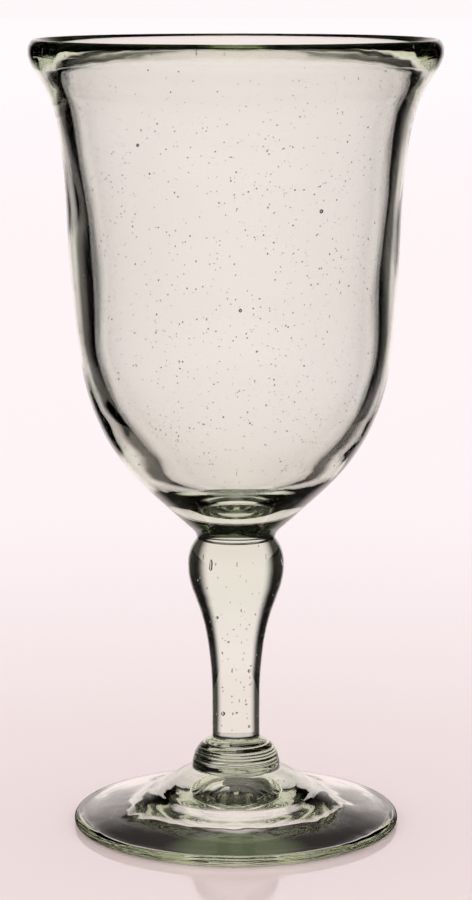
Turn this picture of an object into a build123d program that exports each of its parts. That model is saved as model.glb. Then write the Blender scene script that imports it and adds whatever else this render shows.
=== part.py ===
from build123d import *
import math
import os

# Water goblet of hand-blown glass, made as it is at the furnace: four gathers joined hot.
# A bell-shaped bowl with a flared, fire-polished lip stands on a solid baluster stem. The stem ends on
# a cushion knop, and the knop is seated in a dish at the top of a spread foot.
# Units are millimetres. +Z is up, and the origin is the centre of the ring that the foot stands on.

# Foot
foot_diameter = 76.6
foot_height = 13.4  # from the table to the edge of the dish that holds the knop
foot_edge_thickness = 2.4
foot_edge_round = 1.0
foot_ring_width = 1.2  # flat ring that the goblet stands on
foot_kick_height = 3.8  # how far the cone under the foot rises to the edge of the hollow
foot_hollow_diameter = 37.0  # of the round hollow in the middle of that cone
foot_hollow_height = 7.0  # from the table to the top of the hollow
foot_flare_diameter = 46.0  # where the trumpet of the foot turns into its disc
foot_flare_height = 6.2
foot_flank_slope = 0.5  # fall of the trumpet beside the knop
foot_edge_slope = 0.2  # fall of the disc at its edge

# Knop
knop_diameter = 20.8
knop_height = 7.2  # from the edge of the dish to the stem
knop_seat_depth = 2.4  # how far its rounded underside sinks into the foot

# Stem
stem_length = 47.7
stem_diameter = 11.2  # at its slim lower end
stem_slim_length = 8.0  # straight part above the knop
stem_taper_diameter = 16.2  # half way down the baluster
stem_taper_drop = 18.3  # from the bowl
stem_shoulder_diameter = 22.5
stem_shoulder_drop = 6.3  # from the bowl

# Bowl
bowl_height = 115.7  # from the stem to the top of the lip
neck_diameter = 18.2  # where the bowl meets the stem
neck_round = 2.5
underside_angle = 47.0  # of the cone under the bowl, from the axis
underside_height = 12.2  # from the stem to the top of that cone
belly_diameter = 71.0
belly_height = 39.7  # from the stem
waist_diameter = 76.2  # in the middle of the wall
waist_height = 67.7  # from the stem
throat_diameter = 80.8  # where the flare begins
throat_drop = 21.0  # below the top of the lip
rim_diameter = 95.0
rim_drop = 2.8  # of the widest point, below the top of the lip
flare_step = 2.3  # how far the wall below the rim stands in from it
flare_drop = 8.0  # below the top of the lip
lip_step = 1.5  # from the rim in to where the lip is highest
lip_inside_step = 3.15  # from the rim in to where the lip runs out into the slanting inside of the flare
lip_inside_drop = 1.4  # below the top of the lip
lip_inside_angle = 41.0  # of that slant, from the axis
wall_thickness = 4.1
throat_wall_thickness = 3.6
flare_wall_thickness = 5.4  # measured level, across the slanting wall
base_wall_thickness = 4.8  # on the cone under the bowl
base_thickness = 9.1  # of solid glass under the middle of the bowl

# Levels of the joints, stacked from the table up
knop_level = foot_height
stem_level = knop_level + knop_height
bowl_level = stem_level + stem_length
rim_level = bowl_level + bowl_height

# Where two pieces meet
dish_edge = (knop_diameter / 2, knop_level)
dish_bottom = (0, knop_level - knop_seat_depth)
stem_joint_edge = (stem_diameter / 2, stem_level)
stem_joint_centre = (0, stem_level)
bowl_joint_edge = (neck_diameter / 2, bowl_level)
bowl_joint_centre = (0, bowl_level)

# Foot: a spread disc, kicked up below into a shallow cone with a round hollow under the knop
foot_radius = foot_diameter / 2
foot_top_edge = (foot_radius, foot_edge_thickness)
foot_bottom_edge = (foot_radius, 0)
ring_inside = (foot_radius - foot_edge_round - foot_ring_width, 0)
hollow_edge = (foot_hollow_diameter / 2, foot_kick_height)
hollow_top = (0, foot_hollow_height)

with BuildPart() as foot:
    with BuildSketch(Plane.XZ):
        with BuildLine():
            TangentArc(dish_bottom, dish_edge, tangent=(1, 0))
            Spline(
                dish_edge,
                (foot_flare_diameter / 2, foot_flare_height),
                foot_top_edge,
                tangents=[(1, -foot_flank_slope), (1, -foot_edge_slope)],
            )
            Line(foot_top_edge, foot_bottom_edge)
            Line(foot_bottom_edge, ring_inside)
            Line(ring_inside, hollow_edge)
            TangentArc(hollow_top, hollow_edge, tangent=(1, 0))
            Line(hollow_top, dish_bottom)
        make_face()
    revolve(axis=Axis.Z)
    outer_face = foot.faces().filter_by(GeomType.CYLINDER)[0]
    fillet(outer_face.edges().filter_by(GeomType.CIRCLE), foot_edge_round)
foot.part.label = "foot"

# Knop: a cushion with a flat top for the stem and a rounded underside in the dish of the foot
with BuildPart() as knop:
    with BuildSketch(Plane.XZ):
        with BuildLine():
            TangentArc(dish_bottom, dish_edge, tangent=(1, 0))
            TangentArc(dish_edge, stem_joint_edge, tangent=(0, 1))
            Line(stem_joint_edge, stem_joint_centre)
            Line(stem_joint_centre, dish_bottom)
        make_face()
    revolve(axis=Axis.Z)
knop.part.label = "knop"

# Stem: a solid inverted baluster, slim and straight below, with a round shoulder under the bowl
slim_top = (stem_diameter / 2, stem_level + stem_slim_length)
taper_middle = (stem_taper_diameter / 2, bowl_level - stem_taper_drop)
shoulder = (stem_shoulder_diameter / 2, bowl_level - stem_shoulder_drop)

with BuildPart() as stem:
    with BuildSketch(Plane.XZ):
        with BuildLine():
            Line(stem_joint_centre, stem_joint_edge)
            Line(stem_joint_edge, slim_top)
            Spline(slim_top, taper_middle, shoulder, tangents=[(0, 1), (0, 1)])
            TangentArc(shoulder, bowl_joint_edge, tangent=(0, 1))
            Line(bowl_joint_edge, bowl_joint_centre)
            Line(bowl_joint_centre, stem_joint_centre)
        make_face()
    revolve(axis=Axis.Z)
stem.part.label = "stem"

# Bowl: a bell with a cone below, a slowly widening wall and a flare that ends in a thick round lip
slope = math.radians(underside_angle)
cone_direction = Vector(math.sin(slope), math.cos(slope))
cone_inward = Vector(-math.cos(slope), math.sin(slope))
slant = math.radians(lip_inside_angle)
into_bowl = (-math.sin(slant), -math.cos(slant))
out_of_bowl = (math.sin(slant), math.cos(slant))
rim = Vector(rim_diameter / 2, rim_level - rim_drop)
lip_top = Vector(rim.X - lip_step, rim_level)
lip_inside = Vector(rim.X - lip_inside_step, rim_level - lip_inside_drop)
bowl_floor = (0, bowl_level + base_thickness)
wall = Vector(wall_thickness, 0)
belly = Vector(belly_diameter / 2, bowl_level + belly_height)
waist = Vector(waist_diameter / 2, bowl_level + waist_height)
throat = Vector(throat_diameter / 2, rim_level - throat_drop)
flare = Vector(rim.X - flare_step, rim_level - flare_drop)
inner_throat = throat - Vector(throat_wall_thickness, 0)
inner_flare = flare - Vector(flare_wall_thickness, 0)

with BuildPart() as bowl:
    with BuildSketch(Plane.XZ):
        with BuildLine():
            Line(bowl_joint_centre, bowl_joint_edge)
            neck = JernArc(bowl_joint_edge, (0, 1), neck_round, -underside_angle)
            cone_length = (bowl_level + underside_height - (neck @ 1).Y) / math.cos(slope)
            cone = Line(neck @ 1, neck @ 1 + cone_direction * cone_length)
            outer_turn = TangentArc(cone @ 1, belly, tangent=cone_direction)
            Spline(belly, waist, throat, flare, rim, tangents=[outer_turn % 1, (0, 1)])
            Spline(rim, lip_top, tangents=[(0, 1), (-1, 0)])
            Spline(lip_top, lip_inside, tangents=[(-1, 0), into_bowl])
            inner_base = TangentArc(
                bowl_floor, cone @ 1 + cone_inward * base_wall_thickness, tangent=(1, 0)
            )
            Spline(inner_base @ 1, belly - wall, tangents=[inner_base % 1, outer_turn % 1])
            Spline(
                belly - wall,
                waist - wall,
                inner_throat,
                inner_flare,
                lip_inside,
                tangents=[outer_turn % 1, out_of_bowl],
            )
            Line(bowl_floor, bowl_joint_centre)
        make_face()
    revolve(axis=Axis.Z)
bowl.part.label = "bowl"

os.makedirs("parts", exist_ok=True)
for piece in (foot, knop, stem, bowl):
    export_step(piece.part, f"parts/{piece.part.label}.step")
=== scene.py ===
import math
import random
from collections import namedtuple

import bpy
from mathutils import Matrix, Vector
from mathutils.bvhtree import BVHTree


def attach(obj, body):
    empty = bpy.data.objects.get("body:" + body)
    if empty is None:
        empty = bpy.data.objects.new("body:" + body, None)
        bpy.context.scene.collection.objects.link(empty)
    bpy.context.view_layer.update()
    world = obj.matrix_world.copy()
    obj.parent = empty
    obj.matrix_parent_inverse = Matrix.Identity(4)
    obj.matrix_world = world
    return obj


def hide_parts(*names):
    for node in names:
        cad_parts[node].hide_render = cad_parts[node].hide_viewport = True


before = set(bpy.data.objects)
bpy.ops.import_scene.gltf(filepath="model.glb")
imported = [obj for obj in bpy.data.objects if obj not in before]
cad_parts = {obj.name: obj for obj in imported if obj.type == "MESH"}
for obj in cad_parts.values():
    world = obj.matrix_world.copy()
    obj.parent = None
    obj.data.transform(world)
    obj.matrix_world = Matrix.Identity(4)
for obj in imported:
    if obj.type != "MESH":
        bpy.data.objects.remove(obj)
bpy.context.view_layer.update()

MM = 0.001  # sizes of the goblet are written in mm
TURN = 2 * math.pi
ROUND = "AUTO"  # a point that a section passes smoothly
SHARP = "VECTOR"  # a point where a section has a corner

# Where the pieces meet, as in the solids
BOWL_JOINT = 68.3
NECK_RADIUS = 9.1
KNOP_JOINT = 20.6
STEM_RADIUS = 5.6
DISH_RADIUS = 10.4
JOINT_SINK = 0.1  # how far the bowl and the stem reach into the piece below them

# Reach of the bench tools
MERGE_GAP = 0.002
CREASE = math.radians(50)
GROOVE_PICK = (1.0, 0.08)  # how near to a groove's radius and height a point is pressed
GROOVE_WIDTH = 0.26
WALL_PICK = (0.5, 1.6)  # the same for a ring of the wall that is pushed
SEED_START = 0.5  # how far outside the glass the way to a seed starts
ABOVE_FOOT = 16  # height over the table at which the way to a seed in the foot starts

Seed = namedtuple("Seed", "outside depth radius stretch")


# Tools of the bench


def bare_selection():
    """Leaves edit mode and deselects everything."""
    if bpy.context.object and bpy.context.object.mode != "OBJECT":
        bpy.ops.object.mode_set(mode="OBJECT")
    bpy.ops.object.select_all(action="DESELECT")


def pick(piece):
    """Makes one piece the selected and active one."""
    bare_selection()
    piece.select_set(True)
    bpy.context.view_layer.objects.active = piece


def edit_points(piece, wanted):
    """Opens a piece in edit mode with those points selected whose radius and height in mm are wanted."""
    pick(piece)
    bpy.ops.object.mode_set(mode="EDIT")
    bpy.ops.mesh.select_mode(type="VERT")
    bpy.ops.mesh.select_all(action="DESELECT")
    bpy.ops.object.mode_set(mode="OBJECT")
    for vertex in piece.data.vertices:
        vertex.select = wanted(math.hypot(vertex.co.x, vertex.co.y) / MM, vertex.co.z / MM)
    bpy.ops.object.mode_set(mode="EDIT")


def draw_section(name, outline, smoothness):
    """Draws half a section as a curve of (radius, height, handle) in mm and makes it a line of points."""
    bare_selection()
    bpy.ops.curve.primitive_bezier_curve_add()
    section = bpy.context.object
    section.name = name
    section.data.name = name
    spline = section.data.splines[0]
    spline.bezier_points.add(len(outline) - 2)
    spline.resolution_u = smoothness
    for point, (radius, height, handle) in zip(spline.bezier_points, outline):
        point.handle_left_type = handle
        point.handle_right_type = handle
        point.co = (radius * MM, 0, height * MM)
    bpy.ops.object.convert(target="MESH")
    return section


def push_sideways(piece, radius, height, near, shift, reach):
    """Pushes the points near a radius and height sideways, and those around them less and less, in mm."""
    near_out, near_up = near
    edit_points(piece, lambda out, up: abs(out - radius) < near_out and abs(up - height) < near_up)
    bpy.ops.transform.translate(
        value=(shift * MM, 0, 0),
        use_proportional_edit=True,
        use_proportional_connected=True,
        proportional_edit_falloff="SMOOTH",
        proportional_size=reach * MM,
    )
    bpy.ops.object.mode_set(mode="OBJECT")


def shake_section(section, wanted, depth, seed):
    """Shifts the wanted points of a section a little, so that it turns into the fine rings of a tool."""
    edit_points(section, wanted)
    bpy.ops.transform.vertex_random(offset=depth * MM, uniform=0, normal=0, seed=seed)
    bpy.ops.object.mode_set(mode="OBJECT")


def spin_section(section, steps):
    """Spins a section round the axis into a closed, smooth piece."""
    edit_points(section, lambda out, up: True)
    bpy.ops.mesh.spin(steps=steps, angle=TURN, center=(0, 0, 0), axis=(0, 0, 1))
    bpy.ops.mesh.select_all(action="SELECT")
    bpy.ops.mesh.remove_doubles(threshold=MERGE_GAP * MM)
    bpy.ops.mesh.normals_make_consistent(inside=False)
    bpy.ops.object.mode_set(mode="OBJECT")
    bpy.ops.object.shade_smooth_by_angle(angle=CREASE)


def make_uneven(piece, depth, size):
    """Gives the surface the soft waves of glass worked by hand: their depth and size in mm."""
    waves = bpy.data.textures.new("waves", "CLOUDS")
    waves.noise_scale = size * MM
    pick(piece)
    swell = piece.modifiers.new("waves", "DISPLACE")
    swell.texture = waves
    swell.texture_coords = "LOCAL"
    swell.mid_level = 0.5
    swell.strength = depth * MM
    bpy.ops.object.modifier_apply(modifier=swell.name)


# Seeds, the air bubbles in the glass


def model_seed():
    """One seed of 1 mm radius, whose faces look into the air."""
    bare_selection()
    bpy.ops.mesh.primitive_ico_sphere_add(subdivisions=1, radius=MM)
    seed = bpy.context.object
    seed.name = "seed"
    bpy.ops.object.mode_set(mode="EDIT")
    bpy.ops.mesh.select_all(action="SELECT")
    bpy.ops.mesh.flip_normals()
    bpy.ops.object.mode_set(mode="OBJECT")
    bpy.ops.object.shade_smooth()
    return seed


def beside(outline, angle, height):
    """A point just outside the widest part of an outline at a height in mm."""
    radius = 0
    for (out, up, _), (next_out, next_up, _) in zip(outline, outline[1:]):
        if min(up, next_up) <= height <= max(up, next_up) and up != next_up:
            radius = max(radius, out + (next_out - out) * (height - up) / (next_up - up))
    radius = (radius + SEED_START) * MM
    return Vector((math.cos(angle) * radius, math.sin(angle) * radius, height * MM))


def above(angle, radius):
    """A point over the top of the foot, at a radius in mm."""
    return Vector((math.cos(angle) * radius * MM, math.sin(angle) * radius * MM, ABOVE_FOOT * MM))


def scatter_seeds(chance, count, place, span, radii, depths, stretches):
    """Seeds all round a piece, whose place takes an angle and a height or radius within a span in mm."""
    seeds = []
    for _ in range(count):
        outside = place(chance.uniform(0, TURN), chance.uniform(*span))
        radius = chance.choice(radii)
        depth = chance.uniform(*depths)
        stretch = chance.uniform(*stretches)
        seeds.append(Seed(outside, depth, radius, stretch))
    return seeds


def trap_seeds(piece, seeds):
    """Traps seeds in a piece, each below the surface nearest to its point outside, and stretched upwards."""
    model = model_seed()
    skin = BVHTree.FromObject(piece, bpy.context.evaluated_depsgraph_get())
    bubbles = []
    for seed in seeds:
        surface, normal, _, _ = skin.find_nearest(seed.outside)
        bubble = model.copy()
        bubble.data = model.data.copy()
        bubble.location = surface - normal * seed.depth * MM
        bubble.scale = (seed.radius, seed.radius, seed.radius * seed.stretch)
        bpy.context.collection.objects.link(bubble)
        bubbles.append(bubble)
    bare_selection()
    for bubble in bubbles:
        bubble.select_set(True)
    piece.select_set(True)
    bpy.context.view_layer.objects.active = piece
    bpy.ops.object.join()
    bpy.data.objects.remove(model)


# Camera, where the photographer stood

CAMERA_AWAY = 685.2 * MM
CAMERA_HEIGHT = 203.0 * MM
CAMERA_TILT = 9.45  # degrees down from level
CAMERA_LENS = 119.3
CAMERA_SENSOR = 36
CAMERA_CLIP = 0.01


def make_camera():
    """A long lens, a little above the rim, looking slightly down."""
    bpy.ops.object.camera_add(
        location=(0, -CAMERA_AWAY, CAMERA_HEIGHT),
        rotation=(math.radians(90 - CAMERA_TILT), 0, 0),
    )
    camera = bpy.context.object
    camera.name = "camera"
    camera.data.lens = CAMERA_LENS
    camera.data.sensor_width = CAMERA_SENSOR
    camera.data.clip_start = CAMERA_CLIP
    bpy.context.scene.camera = camera
    return camera


# Finish


def seeded_glass():
    """Clear soda-lime glass: the green comes from the iron in it, so thick places are greener."""
    material = bpy.data.materials.new("seeded_glass")
    material.use_nodes = True
    nodes = material.node_tree.nodes
    shader = nodes["Principled BSDF"]
    shader.inputs["Base Color"].default_value = (1, 1, 1, 1)
    shader.inputs["Roughness"].default_value = 0.0
    shader.inputs["IOR"].default_value = 1.5
    shader.inputs["Transmission Weight"].default_value = 1.0
    absorption = nodes.new("ShaderNodeVolumeAbsorption")
    absorption.inputs["Color"].default_value = (0.65, 0.75, 0.49, 1)
    absorption.inputs["Density"].default_value = 20.0
    material.node_tree.links.new(absorption.outputs["Volume"], nodes["Material Output"].inputs["Volume"])
    return material


# Pieces, each drawn as a section of (radius, height, handle) in mm


def make_bowl():
    """The blown bell: from the stem up its outside, over the lip and down its inside to the floor."""
    joint = BOWL_JOINT - JOINT_SINK
    outline = [
        (0, joint, SHARP),
        (NECK_RADIUS, joint, SHARP),
        (9.25, joint + 0.9, ROUND),
        (9.95, 70.2, ROUND),
        (11.9, 72.0, ROUND),
        (16.2, 76.0, ROUND),
        (20.5, 80.0, ROUND),
        (24.4, 84.0, ROUND),
        (28.85, 90.0, ROUND),
        (32.0, 96.0, ROUND),
        (34.7, 104.0, ROUND),
        (36.0, 112.0, ROUND),
        (37.2, 124.0, ROUND),
        (38.1, 136.0, ROUND),
        (38.7, 149.0, ROUND),
        (39.85, 160.0, ROUND),
        (41.4, 168.0, ROUND),
        (42.9, 172.0, ROUND),
        (45.2, 176.0, ROUND),
        (46.8, 178.6, ROUND),
        (47.4, 181.2, ROUND),
        (46.85, 183.2, ROUND),
        (46.0, 183.9, ROUND),
        (45.1, 183.4, ROUND),
        (43.3, 181.4, ROUND),
        (41.4, 179.0, ROUND),
        (39.8, 176.2, ROUND),
        (38.7, 173.0, ROUND),
        (37.5, 168.5, ROUND),
        (36.2, 160.0, ROUND),
        (34.9, 149.0, ROUND),
        (33.75, 136.0, ROUND),
        (32.8, 124.0, ROUND),
        (32.3, 112.0, ROUND),
        (30.75, 104.0, ROUND),
        (27.2, 96.0, ROUND),
        (23.0, 90.0, ROUND),
        (17.4, 84.0, ROUND),
        (10.2, 79.6, ROUND),
        (5.0, 77.9, ROUND),
        (0, 77.4, ROUND),
    ]
    bowl = draw_section("bowl_glass", outline, smoothness=4)
    spin_section(bowl, steps=320)
    for radius, height, shift, reach in (
        (38.45, 142, -0.46, 45),
        (36.4, 161, -0.35, 20),
        (25.4, 93, 0.5, 26),
    ):
        push_sideways(bowl, radius, height, WALL_PICK, shift, reach)
    make_uneven(bowl, depth=0.11, size=24)
    make_uneven(bowl, depth=0.03, size=5)
    seeds = scatter_seeds(
        random.Random(11),
        count=2100,
        place=lambda angle, height: beside(outline, angle, height),
        span=(76, 178),
        radii=(0.08, 0.1, 0.11, 0.13, 0.15, 0.2),
        depths=(0.5, 3.2),
        stretches=(0.8, 1.3),
    )
    for angle, height, radius in ((-123, 161.6, 0.4), (-60, 147.2, 0.5), (-88.5, 125.8, 0.42)):
        outside = beside(outline, math.radians(angle), height)
        seeds.append(Seed(outside, depth=1.5, radius=radius, stretch=1.1))
    trap_seeds(bowl, seeds)
    return bowl


def make_stem():
    """The solid baluster: from the bowl over its shoulder down to the slim end on the knop."""
    joint = KNOP_JOINT - JOINT_SINK
    outline = [
        (0, BOWL_JOINT, SHARP),
        (NECK_RADIUS, BOWL_JOINT, SHARP),
        (10.3, 66.4, ROUND),
        (11.05, 64.2, ROUND),
        (11.25, 62.0, ROUND),
        (10.8, 58.0, ROUND),
        (9.5, 54.0, ROUND),
        (8.1, 50.0, ROUND),
        (6.9, 45.0, ROUND),
        (6.2, 40.0, ROUND),
        (5.7, 34.0, ROUND),
        (STEM_RADIUS, 28.0, ROUND),
        (STEM_RADIUS, joint, SHARP),
        (0, joint, SHARP),
    ]
    stem = draw_section("stem_glass", outline, smoothness=8)
    spin_section(stem, steps=128)
    make_uneven(stem, depth=0.1, size=9)
    seeds = scatter_seeds(
        random.Random(23),
        count=130,
        place=lambda angle, height: beside(outline, angle, height),
        span=(22, 66),
        radii=(0.07, 0.09, 0.11, 0.13, 0.17),
        depths=(0.4, 5),
        stretches=(1, 3.5),
    )
    trap_seeds(stem, seeds)
    return stem


def make_knop():
    """The cushion between stem and foot, with the grooves of the tool that turned it."""
    outline = [
        (0, KNOP_JOINT, SHARP),
        (STEM_RADIUS, KNOP_JOINT, SHARP),
        (7.0, 19.8, ROUND),
        (8.9, 18.0, ROUND),
        (10.0, 15.9, ROUND),
        (DISH_RADIUS, 13.4, SHARP),
        (6.0, 11.7, ROUND),
        (0, 11.0, ROUND),
    ]
    knop = draw_section("knop_glass", outline, smoothness=20)
    for radius, height, depth in (
        (7.6, 19.3, 0.26),
        (8.85, 18.1, 0.24),
        (9.2, 17.5, 0.2),
        (9.55, 16.9, 0.24),
        (9.95, 16.0, 0.28),
        (10.15, 15.3, 0.2),
    ):
        push_sideways(knop, radius, height, GROOVE_PICK, -depth, GROOVE_WIDTH)
    spin_section(knop, steps=128)
    make_uneven(knop, depth=0.05, size=6)
    chance = random.Random(37)
    seeds = []
    for _ in range(14):
        outside = beside(outline, chance.uniform(0, TURN), chance.uniform(14, 20))
        depth = chance.uniform(0.4, 4)
        seeds.append(Seed(outside, depth, radius=chance.uniform(0.1, 0.2), stretch=1))
    front = beside(outline, math.radians(-90), 14.9)
    seeds.append(Seed(front, depth=0.35, radius=0.16, stretch=5))
    trap_seeds(knop, seeds)
    return knop


def make_foot():
    """The spread foot: from its dish out over the top to the edge, and back under it to the hollow."""
    outline = [
        (0, 11.0, ROUND),
        (6.0, 11.69, ROUND),
        (DISH_RADIUS, 13.38, SHARP),
        (13.0, 12.0, ROUND),
        (17.0, 9.6, ROUND),
        (23.0, 6.4, ROUND),
        (30.0, 4.1, ROUND),
        (36.9, 2.55, ROUND),
        (37.9, 2.0, ROUND),
        (38.25, 1.1, ROUND),
        (38.0, 0.35, ROUND),
        (37.5, 0.06, SHARP),
        (36.2, 0.06, SHARP),
        (27.3, 1.94, ROUND),
        (20.8, 3.32, ROUND),
        (18.5, 3.85, ROUND),
        (15.0, 4.95, ROUND),
        (11.0, 5.9, ROUND),
        (7.5, 6.5, ROUND),
        (4.0, 6.9, ROUND),
        (0, 7.0, ROUND),
    ]
    foot = draw_section("foot_glass", outline, smoothness=8)
    shake_section(foot, lambda out, up: 11 < out < 36 and up > 4, depth=0.014, seed=5)
    spin_section(foot, steps=192)
    make_uneven(foot, depth=0.1, size=12)
    make_uneven(foot, depth=0.01, size=3)
    seeds = scatter_seeds(
        random.Random(41),
        count=90,
        place=above,
        span=(12, 36),
        radii=(0.1, 0.13, 0.16, 0.22),
        depths=(0.3, 1.8),
        stretches=(0.5, 1),
    )
    trap_seeds(foot, seeds)
    return foot


# Colours of the studio, for the camera and as the clear glass shows them

PALE = (1.0, 0.94, 0.955)
# Painted shade: the table is darker near the goblet, for the camera and in the glass
TABLE_SHADED_NEAR = (0.80, 0.665, 0.63)
GLASS_PALE = (1.0, 0.9, 0.882)
GLASS_SHADED_NEAR = (0.95, 0.82, 0.78)
# Painted shadow of the foot on the table, as the glass shows it: dark at the sides and green in front
PAINTED_SHADOW_SIDE = (0.015, 0.013, 0.01)
PAINTED_GREEN_SHADOW_FRONT = (0.115, 0.135, 0.075)

# Directions from the goblet, seen from above: 1 is straight behind it and -1 straight before it

CARD_FADE = (0.745, 0.92)
NARROW_FADE = (0.93, 0.99)
FRONT_FADE = (-0.8, -0.3)
# Where the painted shadow under the foot turns green, straight before it
GREEN_SHADOW_FADE = (-0.96, -0.82)
# Painted light on the table under the back of the foot
PAINTED_LIGHT_TURN = 0.25  # how much less of the table behind is pale towards the sides

# Heights in the room: 0 is level with the table and 1 straight above it

LOW_FADE = (0.2, 0.52)
WIDE_FADE = (0.3, 0.6)
LAMP_START = (0.66, 0.72)
LAMP_STOP = (0.80, 0.87)

# Distances on the table from the middle of the foot

TABLE_FADE = (-0.2, 0.5)
FOOT_EDGE = 38.3 * MM
SHADE_FADE = (FOOT_EDGE, FOOT_EDGE + 30 * MM)
EDGE_FADE = (FOOT_EDGE, FOOT_EDGE + 5 * MM)
# Where the painted light lies under the back of the foot and under its hollow
PAINTED_LIGHT_BACK_FADE = (9 * MM, 17 * MM)
PAINTED_LIGHT_HOLLOW_FADE = (2 * MM, 9 * MM)

# Shares of the light that the glass shows of a place

# Painted shade on the table at its sides and in front, as the glass shows it
PAINTED_SHADE_SIDE = 0.05
PAINTED_SHADE_FRONT = 0.02
# Painted pool of light on the table under the hollow of the foot
PAINTED_LIGHT_HOLLOW = 0.6
ROOM_HIGH = 0.1
ROOM_SIDE = 0.03
ROOM_FRONT = 0.4
LAMP = 0.3

# Sizes of the studio in metres

TABLE_HALF = 9
TABLE_DROP = 0.1 * MM
ROOM_RADIUS = 9
CARDS_ACROSS = (-0.107, 0.121)
CARD_NEAR = -0.03
CARD_FAR = 0.3
CARD_TOP = 0.26


# Shading of the studio


def new_material(name):
    """A material and the tree of its nodes."""
    material = bpy.data.materials.new(name)
    material.use_nodes = True
    return material, material.node_tree


def add_node(tree, kind, **settings):
    """Adds a shader node with plain settings."""
    node = tree.nodes.new("ShaderNode" + kind)
    for name, value in settings.items():
        setattr(node, name, value)
    return node


def feed(tree, socket, value):
    """Gives a socket a number, a colour or what another node puts out."""
    if isinstance(value, bpy.types.NodeSocket):
        tree.links.new(value, socket)
    elif isinstance(value, tuple):
        socket.default_value = (*value, 1)
    else:
        socket.default_value = value


def ramp(tree, source, span, values):
    """A soft step over a span, from the first of two values to the second."""
    step = add_node(tree, "MapRange", interpolation_type="SMOOTHSTEP")
    for name, value in zip(("From Min", "From Max", "To Min", "To Max"), (*span, *values)):
        step.inputs[name].default_value = value
    feed(tree, step.inputs["Value"], source)
    return step.outputs["Result"]


def combine(tree, operation, first, second):
    """What one operation makes of two values."""
    sum_node = add_node(tree, "Math", operation=operation)
    feed(tree, sum_node.inputs[0], first)
    feed(tree, sum_node.inputs[1], second)
    return sum_node.outputs[0]


def larger(tree, first, second):
    return combine(tree, "MAXIMUM", first, second)


def product(tree, first, second):
    return combine(tree, "MULTIPLY", first, second)


def way_from_goblet(tree):
    """The way from the middle of the foot to the place that is shaded."""
    return add_node(tree, "TexCoord").outputs["Object"]


def level_way(tree):
    """The same way, seen from above."""
    level = add_node(tree, "VectorMath", operation="MULTIPLY")
    level.inputs[1].default_value = (1, 1, 0)
    feed(tree, level.inputs[0], way_from_goblet(tree))
    return level.outputs["Vector"]


def direction(tree, way):
    """The parts of a way along the three axes, as shares of its length."""
    unit = add_node(tree, "VectorMath", operation="NORMALIZE")
    feed(tree, unit.inputs[0], way)
    axes = add_node(tree, "SeparateXYZ")
    feed(tree, axes.inputs[0], unit.outputs["Vector"])
    return axes.outputs


def length(tree, way):
    """The length of a way in metres."""
    measure = add_node(tree, "VectorMath", operation="LENGTH")
    feed(tree, measure.inputs[0], way)
    return measure.outputs["Value"]


def in_clear_glass(tree):
    """1 for what is seen through the clear glass or mirrored in it, 0 for all else."""
    return add_node(tree, "LightPath").outputs["Is Singular Ray"]


def shade_between(tree, factor, first, second):
    """A colour between two others."""
    mix = add_node(tree, "Mix", data_type="RGBA")
    feed(tree, mix.inputs["Factor"], factor)
    feed(tree, mix.inputs["A"], first)
    feed(tree, mix.inputs["B"], second)
    return mix.outputs["Result"]


def value_between(tree, factor, first, second):
    """A number between two others."""
    mix = add_node(tree, "Mix")
    feed(tree, mix.inputs["Factor"], factor)
    feed(tree, mix.inputs["A"], first)
    feed(tree, mix.inputs["B"], second)
    return mix.outputs["Result"]


def glow(tree, colour, strength):
    """Even light of one colour."""
    light = add_node(tree, "Emission")
    feed(tree, light.inputs["Color"], colour)
    feed(tree, light.inputs["Strength"], strength)
    return light.outputs["Emission"]


def finish_with(tree, surface):
    """Ends a material with its surface."""
    feed(tree, tree.nodes["Material Output"].inputs["Surface"], surface)


def choose(tree, factor, first, second):
    """Ends a material with one of two surfaces."""
    choice = add_node(tree, "MixShader")
    feed(tree, choice.inputs["Fac"], factor)
    feed(tree, choice.inputs[1], first)
    feed(tree, choice.inputs[2], second)
    finish_with(tree, choice.outputs["Shader"])


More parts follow.
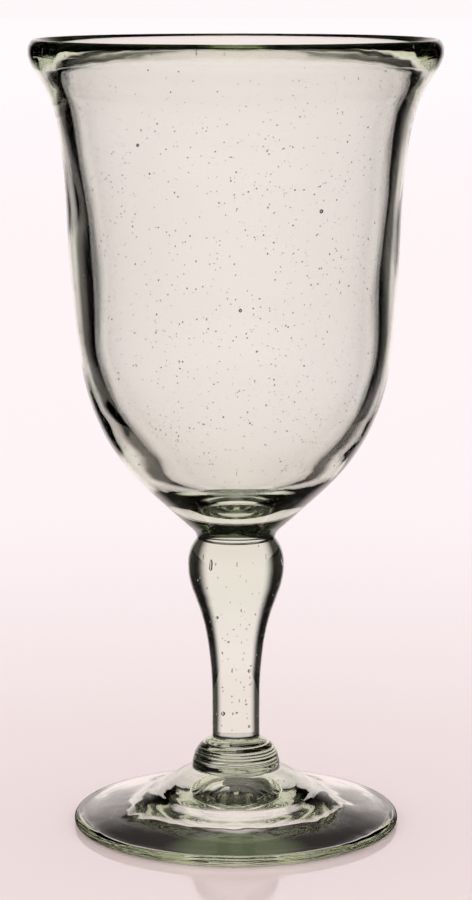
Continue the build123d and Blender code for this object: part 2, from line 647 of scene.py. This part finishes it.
def table_white():
    """Pale lacquer, paler away from the goblet by painted shade near it. In the glass it glows with painted
    light and shade: painted shade at the sides, a painted shadow under the foot that is green in front, and
    painted light behind the foot and under its hollow.
    """
    material, tree = new_material("table_white")
    way = level_way(tree)
    across, behind, _ = direction(tree, way)
    distance = length(tree, way)
    fade = ramp(tree, distance, TABLE_FADE, (0, 1))
    lacquer = tree.nodes["Principled BSDF"]
    lacquer.inputs["Roughness"].default_value = 0.08
    # painted shade: the lacquer is darker near the goblet
    feed(tree, lacquer.inputs["Base Color"], shade_between(tree, fade, TABLE_SHADED_NEAR, PALE))

    # In the glass the table glows with painted light behind the goblet and painted shade at its sides and in
    # front, fading out towards the foot
    back_light = ramp(tree, behind, CARD_FADE, (PAINTED_SHADE_SIDE, 1))
    front_light = ramp(tree, behind, FRONT_FADE, (PAINTED_SHADE_FRONT, 0))
    outside = larger(tree, back_light, front_light)
    outside = product(tree, outside, ramp(tree, distance, SHADE_FADE, (0, 1)))

    # painted light under the back of the foot and a painted pool of light under its hollow, ending at the
    # foot's edge
    sideways = product(tree, product(tree, across, across), PAINTED_LIGHT_TURN)
    back = product(tree, combine(tree, "SUBTRACT", behind, sideways), distance)
    back = ramp(tree, back, PAINTED_LIGHT_BACK_FADE, (0, 1))
    hollow = ramp(tree, distance, PAINTED_LIGHT_HOLLOW_FADE, (PAINTED_LIGHT_HOLLOW, 0))
    under = product(tree, larger(tree, back, hollow), ramp(tree, distance, EDGE_FADE, (1, 0)))

    # painted shadow under the foot: dark at the sides, green in front
    dark = shade_between(tree, ramp(tree, behind, GREEN_SHADOW_FADE, (1, 0)), PAINTED_SHADOW_SIDE, PAINTED_GREEN_SHADOW_FRONT)
    pale = shade_between(tree, fade, GLASS_SHADED_NEAR, GLASS_PALE)
    painted_light_and_shade = shade_between(tree, larger(tree, outside, under), dark, pale)
    # the glass shows the table as a glow of these painted light and shade colours; the camera sees the
    # lacquer
    choose(tree, in_clear_glass(tree), lacquer.outputs["BSDF"], glow(tree, painted_light_and_shade, 1.0))
    material.cycles.emission_sampling = "NONE"
    return material


def room_white():
    """Pale for the camera and the table. In the glass only its low middle part is bright."""
    material, tree = new_material("room_white")
    tree.nodes.remove(tree.nodes["Principled BSDF"])
    _, _, height = direction(tree, way_from_goblet(tree))
    _, behind, _ = direction(tree, level_way(tree))

    low = ramp(tree, height, LOW_FADE, (1, ROOM_HIGH))
    lamp = product(tree, ramp(tree, height, LAMP_START, (0, LAMP)), ramp(tree, height, LAMP_STOP, (1, 0)))
    by_height = larger(tree, low, lamp)

    wide = ramp(tree, behind, CARD_FADE, (ROOM_SIDE, 1))
    wide = product(tree, wide, ramp(tree, height, WIDE_FADE, (1, 0)))
    narrow = ramp(tree, behind, NARROW_FADE, (ROOM_SIDE, 1))
    front = ramp(tree, behind, FRONT_FADE, (ROOM_FRONT, ROOM_SIDE))
    by_side = larger(tree, larger(tree, wide, narrow), front)

    seen = in_clear_glass(tree)
    colour = shade_between(tree, seen, PALE, GLASS_PALE)
    strength = value_between(tree, seen, 1.0, product(tree, by_height, by_side))
    finish_with(tree, glow(tree, colour, strength))
    material.cycles.emission_sampling = "NONE"
    return material


def card_black():
    """Black card with a faded far end. Only the clear glass shows it, the table does not mirror it."""
    material, tree = new_material("card_black")
    tree.nodes.remove(tree.nodes["Principled BSDF"])
    _, behind, _ = direction(tree, level_way(tree))
    cover = product(tree, ramp(tree, behind, CARD_FADE, (1, 0)), in_clear_glass(tree))
    unseen = add_node(tree, "BsdfTransparent")
    choose(tree, cover, unseen.outputs["BSDF"], glow(tree, PALE, 0.0))
    return material


# Studio


def set_in_studio(prop, studio, material):
    """Carries a prop of the studio on its turntable."""
    prop.data.materials.append(material)
    prop.parent = studio


def make_sheet(name, corners):
    """A flat sheet through four corners in metres."""
    bare_selection()
    bpy.ops.mesh.primitive_plane_add(size=1, location=(0, 0, 0))
    sheet = bpy.context.object
    sheet.name = name
    for vertex, corner in zip(sheet.data.vertices, corners):
        vertex.co = corner
    return sheet


def make_turntable(camera):
    """Turns the whole studio with the camera, so that its cards stay on both sides of the goblet."""
    bare_selection()
    bpy.ops.object.empty_add(location=(0, 0, 0))
    turntable = bpy.context.object
    turntable.name = "turntable"
    follow = turntable.constraints.new("LOCKED_TRACK")
    follow.target = camera
    follow.track_axis = "TRACK_NEGATIVE_Y"
    follow.lock_axis = "LOCK_Z"
    return turntable


def make_studio(camera):
    """A pale table and room, with two black cards that draw the dark edges of clear glass."""
    studio = make_turntable(camera)

    reach = (-TABLE_HALF, TABLE_HALF)
    table = make_sheet("table", [(x, y, -TABLE_DROP) for y in reach for x in reach])
    set_in_studio(table, studio, table_white())

    bare_selection()
    bpy.ops.mesh.primitive_uv_sphere_add(segments=64, ring_count=32, radius=ROOM_RADIUS)
    room = bpy.context.object
    room.name = "room"
    bpy.ops.object.shade_smooth()
    set_in_studio(room, studio, room_white())
    room.visible_diffuse = False
    room.visible_shadow = False

    black = card_black()
    for x in CARDS_ACROSS:
        card = make_sheet("card", [(x, y, z) for z in (0, CARD_TOP) for y in (CARD_NEAR, CARD_FAR)])
        set_in_studio(card, studio, black)
        card.visible_camera = False
        card.visible_diffuse = False
        card.visible_shadow = False

    world = bpy.data.worlds.new("light")
    bpy.context.scene.world = world
    world.use_nodes = True
    world.node_tree.nodes["Background"].inputs["Color"].default_value = (*PALE, 1)
    world.node_tree.nodes["Background"].inputs["Strength"].default_value = 1.0


camera = make_camera()
glass = seeded_glass()
for piece, replaced in (
    (make_bowl(), "bowl"),
    (make_stem(), "stem"),
    (make_knop(), "knop"),
    (make_foot(), "foot"),
):
    piece.data.materials.clear()
    piece.data.materials.append(glass)
    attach(piece, "root")
    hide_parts(replaced)
make_studio(camera)

scene = bpy.context.scene
scene.view_settings.view_transform = "Standard"
scene.cycles.max_bounces = 32
scene.cycles.transmission_bounces = 32
scene.cycles.glossy_bounces = 16
